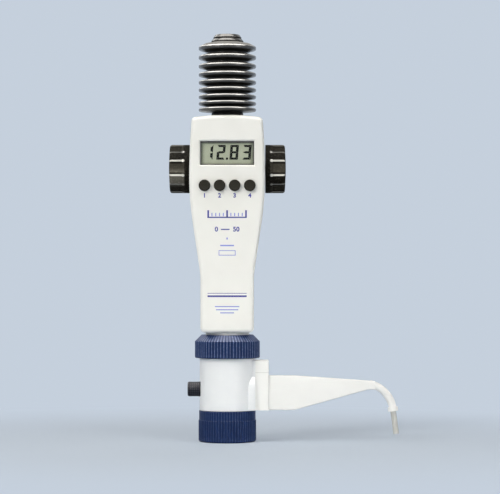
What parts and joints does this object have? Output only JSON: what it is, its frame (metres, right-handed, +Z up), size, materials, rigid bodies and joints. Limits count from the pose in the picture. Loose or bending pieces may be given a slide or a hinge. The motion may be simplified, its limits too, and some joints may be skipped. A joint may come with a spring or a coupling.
{
  "type": "digital burette",
  "caption": "Bottle-top burette: side hand wheels drive a rack and piston under a rubber bellows; display and keys on the head, valve block and discharge arm below.",
  "frame": {"origin": "on the main axis, in the plane of the bottle nut's open lower end", "axes": "+Z up along the main axis, -Y is the display side, +X points along the discharge arm"},
  "size_m": [0.2093, 0.0625, 0.37],
  "materials": {
    "navy_plastic": "satin moulded plastic, ribbed for grip",
    "block_white": "milky white fluoropolymer, satin",
    "housing_white": "warm white moulded plastic, fine satin",
    "arm_white": "white moulded plastic, satin",
    "bellows_rubber": "semi-gloss black rubber",
    "black_plastic": "fine textured black plastic",
    "button_rubber": "fine textured charcoal",
    "knob_plastic": "knurled blue-black plastic",
    "clear_pane": "clear glossy pane",
    "display_panel": "grey-green liquid crystal panel",
    "clear_glass": "clear glass",
    "fluoropolymer": "smooth white fluoropolymer",
    "seal_rubber": "matt black elastomer",
    "ball_ceramic": "polished white ceramic",
    "frame_grey": "grey moulded plastic",
    "steel": "ground stainless steel",
    "brass": "machined brass",
    "contact_metal": "bright nickel plate",
    "encoder_black": "matt black",
    "board_green": "green solder mask",
    "cell_jacket": "printed metal sleeve, plain"
  },
  "bodies": {
    "bottle_mount": {"bottle_nut": "navy_plastic"},
    "head": {"valve_block": "block_white", "front_cover": "housing_white", "rear_cover": "housing_white", "arm_block": "arm_white", "arm_lock": "arm_white", "arm_shell_front": "arm_white", "arm_shell_rear": "arm_white", "spout_jacket": "arm_white", "neck_sleeve": "arm_white", "bellows": "bellows_rubber", "bellows_base_ring": "black_plastic", "display_window": "clear_pane", "display_module": "display_panel", "glass_cylinder": "clear_glass", "nozzle_tip": "clear_glass", "discharge_tube": "fluoropolymer", "intake_fitting": "fluoropolymer", "outlet_seat": "fluoropolymer", "stopcock_gland": "fluoropolymer", "bottle_gasket": "fluoropolymer", "cylinder_seals": "seal_rubber", "display_connectors": "seal_rubber", "drive_frame": "frame_grey", "rack_thrust_pad": "frame_grey", "swivel_ring": "frame_grey", "battery_tray": "frame_grey", "board_spacers": "frame_grey", "frame_screws": "steel", "case_screws": "steel", "shaft_bushes": "brass", "battery_contacts": "contact_metal", "switch_domes": "contact_metal", "encoder_sensor": "encoder_black", "circuit_board": "board_green", "battery_cells": "cell_jacket"},
    "coupling_ring": {"coupling_nut": "navy_plastic"},
    "drive": {"drive_shaft": "steel", "pinion": "brass", "left_hand_wheel": "black_plastic", "right_hand_wheel": "black_plastic", "wheel_caps": "black_plastic", "wheel_screws": "steel", "retaining_clips": "steel", "encoder_disc": "encoder_black"},
    "lift": {"rack_rod": "steel", "piston": "fluoropolymer", "piston_seal": "fluoropolymer", "bellows_top_ring": "black_plastic", "rod_end_cap": "black_plastic"},
    "stopcock": {"stopcock_plug": "fluoropolymer", "stopcock_seal": "seal_rubber", "side_knob": "knob_plastic"},
    "filling_ball": {"intake_ball": "ball_ceramic"},
    "discharge_ball": {"outlet_ball": "ball_ceramic"},
    "battery_lid": {"battery_cover": "housing_white"},
    "key_1": {"button_1": "button_rubber"},
    "key_2": {"button_2": "button_rubber"},
    "key_3": {"button_3": "button_rubber"},
    "key_4": {"button_4": "button_rubber"}
  },
  "joints": [
    {"name": "head_swivel", "type": "hinge", "parent": "bottle_mount", "child": "head", "pos_m": [0, 0, 0.0287], "axis": [0, 0, 1], "continuous": true},
    {"name": "coupling_turn", "type": "hinge", "parent": "head", "child": "coupling_ring", "pos_m": [0, 0, 0.0866], "axis": [0, 0, 1], "range_deg": [0, 90]},
    {"name": "wheel_spin", "type": "hinge", "parent": "head", "child": "drive", "pos_m": [0, 0.0085, 0.2482], "axis": [-1, 0, 0], "range_deg": [-258, 554]},
    {"name": "piston_slide", "type": "slide", "parent": "head", "child": "lift", "axis": [0, 0, 1], "range_m": [-0.027, 0.058], "deforming": ["bellows"]},
    {"name": "side_knob_turn", "type": "hinge", "parent": "head", "child": "stopcock", "pos_m": [-0.0252, 0, 0.0477], "axis": [-1, 0, 0], "range_deg": [0, 90]},
    {"name": "filling_ball_lift", "type": "slide", "parent": "head", "child": "filling_ball", "axis": [0, 0, 1], "range_m": [0, 0.0025]},
    {"name": "discharge_ball_lift", "type": "slide", "parent": "head", "child": "discharge_ball", "axis": [0, 0, 1], "range_m": [0, 0.0025]},
    {"name": "battery_lid_pull", "type": "slide", "parent": "head", "child": "battery_lid", "axis": [0, 1, 0], "range_m": [0, 0.025]},
    {"name": "key_1_press", "type": "slide", "parent": "head", "child": "key_1", "axis": [0, 1, 0], "range_m": [0, 0.0012], "stiffness_N_per_m": 400},
    {"name": "key_2_press", "type": "slide", "parent": "head", "child": "key_2", "axis": [0, 1, 0], "range_m": [0, 0.0012], "stiffness_N_per_m": 400},
    {"name": "key_3_press", "type": "slide", "parent": "head", "child": "key_3", "axis": [0, 1, 0], "range_m": [0, 0.0012], "stiffness_N_per_m": 400},
    {"name": "key_4_press", "type": "slide", "parent": "head", "child": "key_4", "axis": [0, 1, 0], "range_m": [0, 0.0012], "stiffness_N_per_m": 400}
  ],
  "couplings": [
    {"joint": "wheel_spin", "follows": "piston_slide", "rad_per_m": 166.67}
  ]
}
